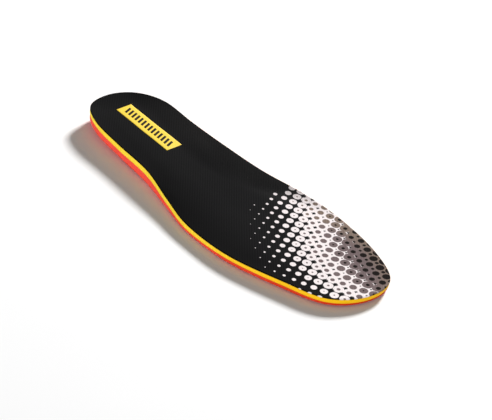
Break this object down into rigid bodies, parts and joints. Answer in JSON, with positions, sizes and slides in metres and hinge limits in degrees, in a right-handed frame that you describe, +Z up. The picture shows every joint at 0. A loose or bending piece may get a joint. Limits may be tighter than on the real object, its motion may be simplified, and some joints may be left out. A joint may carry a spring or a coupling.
{
  "type": "insole",
  "caption": "Cushioned insole for a right foot: knitted cover on two bonded foam layers, with a heel label and shock pads let into the underside.",
  "frame": {"origin": "middle of the plan at the surface the insole lies on", "axes": "+Y along the foot to the toe tip, +X to the outer side of the foot, +Z up out of the knitted cover"},
  "size_m": [0.104, 0.281, 0.0199],
  "materials": {
    "knit_fabric": "fine knit with a dot print over the toes",
    "adhesive": "matte hot-melt film",
    "yellow_foam": "fine open-cell foam",
    "red_foam": "fine moulded foam",
    "pad_foam": "matte dense foam",
    "label_film": "satin transfer film",
    "label_print": "matte ink"
  },
  "bodies": {
    "root": {"top_cover": "knit_fabric", "cover_bond_film": "adhesive", "upper_foam": "yellow_foam", "foam_bond_film": "adhesive", "lower_foam": "red_foam", "heel_shock_pad": "pad_foam", "forefoot_shock_pad": "pad_foam", "heel_label": "label_film", "label_motif": "label_print"}
  },
  "joints": []
}
